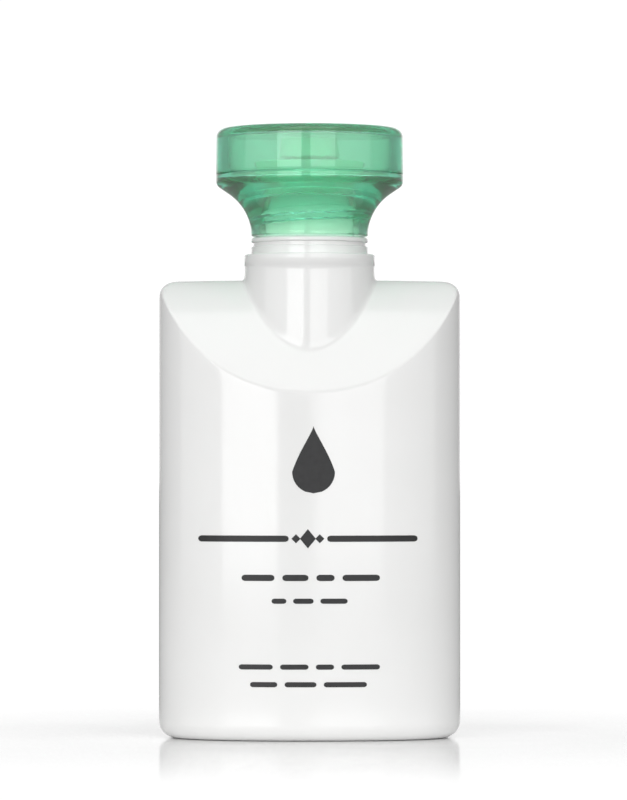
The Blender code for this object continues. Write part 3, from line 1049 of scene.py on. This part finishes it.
# %% Make the floor
WHITE_LEVEL = 1.05
BOARD_FILL = 0.30
BOARD_WHITE = (0.97, 0.97, 0.97, 1.0)
BOARD_ROUGHNESS = (0.10, 0.16)
BOARD_DROP = 0.00002  # keeps the board clear of the foot
FADE_START = 0.030
FADE_END = 0.150
SPAN = 6.0


def ray_level(tree, aside, through, inside):
    """A brightness for each kind of ray.

    aside is for rays off the bottle's outside, through for rays that leave clear plastic,
    and inside for those that light what stands behind it. The camera's own rays see white.
    """
    path = tree.nodes.new("ShaderNodeLightPath")
    within = tree.nodes.new("ShaderNodeMapRange")
    within.inputs["To Min"].default_value = through
    within.inputs["To Max"].default_value = inside
    clear = tree.nodes.new("ShaderNodeMapRange")
    clear.inputs["To Min"].default_value = aside
    seen = tree.nodes.new("ShaderNodeMix")
    seen.inputs["B"].default_value = WHITE_LEVEL
    tree.links.new(path.outputs["Diffuse Depth"], within.inputs["Value"])
    tree.links.new(path.outputs["Transmission Depth"], clear.inputs["Value"])
    tree.links.new(within.outputs["Result"], clear.inputs["To Max"])
    tree.links.new(path.outputs["Is Camera Ray"], seen.inputs["Factor"])
    tree.links.new(clear.outputs["Result"], seen.inputs["A"])
    return seen.outputs["Result"]


def floor_board():
    made, tree, shader = material("pale_board")
    shader.inputs["Base Color"].default_value = BOARD_WHITE
    grain = noise(tree, 25.0, 2.0)
    tree.links.new(spread(tree, grain, *BOARD_ROUGHNESS), shader.inputs["Roughness"])
    glow = tree.nodes.new("ShaderNodeEmission")
    level = ray_level(tree, BOARD_FILL, WHITE_LEVEL, WHITE_LEVEL)
    tree.links.new(level, glow.inputs["Strength"])
    place = tree.nodes.new("ShaderNodeTexCoord")
    length = tree.nodes.new("ShaderNodeVectorMath")
    length.operation = "LENGTH"
    fade = tree.nodes.new("ShaderNodeMapRange")
    fade.interpolation_type = "SMOOTHSTEP"
    fade.inputs["From Min"].default_value = FADE_START
    fade.inputs["From Max"].default_value = FADE_END
    mix = tree.nodes.new("ShaderNodeMixShader")
    tree.links.new(place.outputs["Object"], length.inputs[0])
    tree.links.new(length.outputs["Value"], fade.inputs["Value"])
    tree.links.new(fade.outputs["Result"], mix.inputs["Fac"])
    tree.links.new(shader.outputs["BSDF"], mix.inputs[1])
    tree.links.new(glow.outputs["Emission"], mix.inputs[2])
    tree.links.new(mix.outputs["Shader"], tree.nodes["Material Output"].inputs["Surface"])
    return made


floor_data = bpy.data.meshes.new("floor")
floor_data.from_pydata(
    [(-SPAN, -SPAN, 0.0), (SPAN, -SPAN, 0.0), (SPAN, SPAN, 0.0), (-SPAN, SPAN, 0.0)],
    [],
    [(0, 1, 2, 3)],
)
floor = bpy.data.objects.new("floor", floor_data)
bpy.context.scene.collection.objects.link(floor)
floor.location.z = -BOARD_DROP
floor_data.materials.append(floor_board())
print("floor", 2 * SPAN, "m square")

# %% [markdown]
# ## Lights and sky
#
# The light is soft. On each side of the lens stands a bright upright panel with a broad,
# dim one beyond it, and a fifth panel hangs overhead in front, for the shoulder's vault.
# The dark slot between the two bright panels gives the collar its line.
#
# The sky is white behind the bottle, where the lens looks, and dim everywhere else.

# %% Make the lights and the sky
LIGHT_AIM = (0.0, 0.0, 0.06)


def panel(name, place, width, height, power):
    """A soft box, turned towards the middle of the bottle."""
    data = bpy.data.lights.new(name, "AREA")
    data.shape = "RECTANGLE"
    data.size = width
    data.size_y = height
    data.energy = power
    made = bpy.data.objects.new(name, data)
    bpy.context.scene.collection.objects.link(made)
    made.location = place
    towards = Vector(LIGHT_AIM) - made.location
    made.rotation_euler = towards.to_track_quat("-Z", "Y").to_euler()
    return made


PANEL_DISTANCE = 1.10
PANEL_TALL = 0.95
PANEL_Z = 0.16


def standing_panel(name, first, last, radiance):
    """An upright panel between two bearings in degrees, counted from the lens to the right."""
    middle = math.radians((first + last) / 2)
    width = 2 * PANEL_DISTANCE * math.tan(math.radians(last - first) / 2)
    place = (PANEL_DISTANCE * math.sin(middle), -PANEL_DISTANCE * math.cos(middle), PANEL_Z)
    power = radiance * math.pi * width * PANEL_TALL
    return panel(name, place, width, PANEL_TALL, power)


standing_panel("left_side", -85, -40, 0.75)
standing_panel("left_key", -40, -10, 3.3)
standing_panel("right_key", 1, 31, 2.35)
standing_panel("right_side", 30, 80, 0.9)
panel("top_panel", (0.0, -0.45, 0.90), width=0.90, height=0.50, power=2.0)


FILL = 0.36
CLEAR_FILL = 0.30
INSIDE_FILL = 4.20
SKY_START = 0.86  # the backdrop starts where a direction's Y part passes this
SKY_END = 0.98
MOST_BOUNCES = 24


def studio_sky():
    """White behind the bottle, and dim all round for soft fill."""
    world = bpy.data.worlds.new("studio")
    world.use_nodes = True
    tree = world.node_tree
    place = tree.nodes.new("ShaderNodeTexCoord")
    parts = tree.nodes.new("ShaderNodeSeparateXYZ")
    around = tree.nodes.new("ShaderNodeMapRange")
    around.interpolation_type = "SMOOTHSTEP"
    around.inputs["From Min"].default_value = SKY_START
    around.inputs["From Max"].default_value = SKY_END
    around.inputs["To Max"].default_value = WHITE_LEVEL
    tree.links.new(place.outputs["Generated"], parts.inputs["Vector"])
    tree.links.new(parts.outputs["Y"], around.inputs["Value"])
    tree.links.new(ray_level(tree, FILL, CLEAR_FILL, INSIDE_FILL), around.inputs["To Min"])
    tree.links.new(around.outputs["Result"], tree.nodes["Background"].inputs["Strength"])
    tree.nodes["Background"].inputs["Color"].default_value = (1.0, 1.0, 1.0, 1.0)
    return world


bpy.context.scene.world = studio_sky()
bpy.context.scene.view_settings.view_transform = "Standard"
bpy.context.scene.cycles.max_bounces = MOST_BOUNCES
bpy.context.scene.cycles.transmission_bounces = MOST_BOUNCES
print("five panels, and a sky that is white behind the bottle")
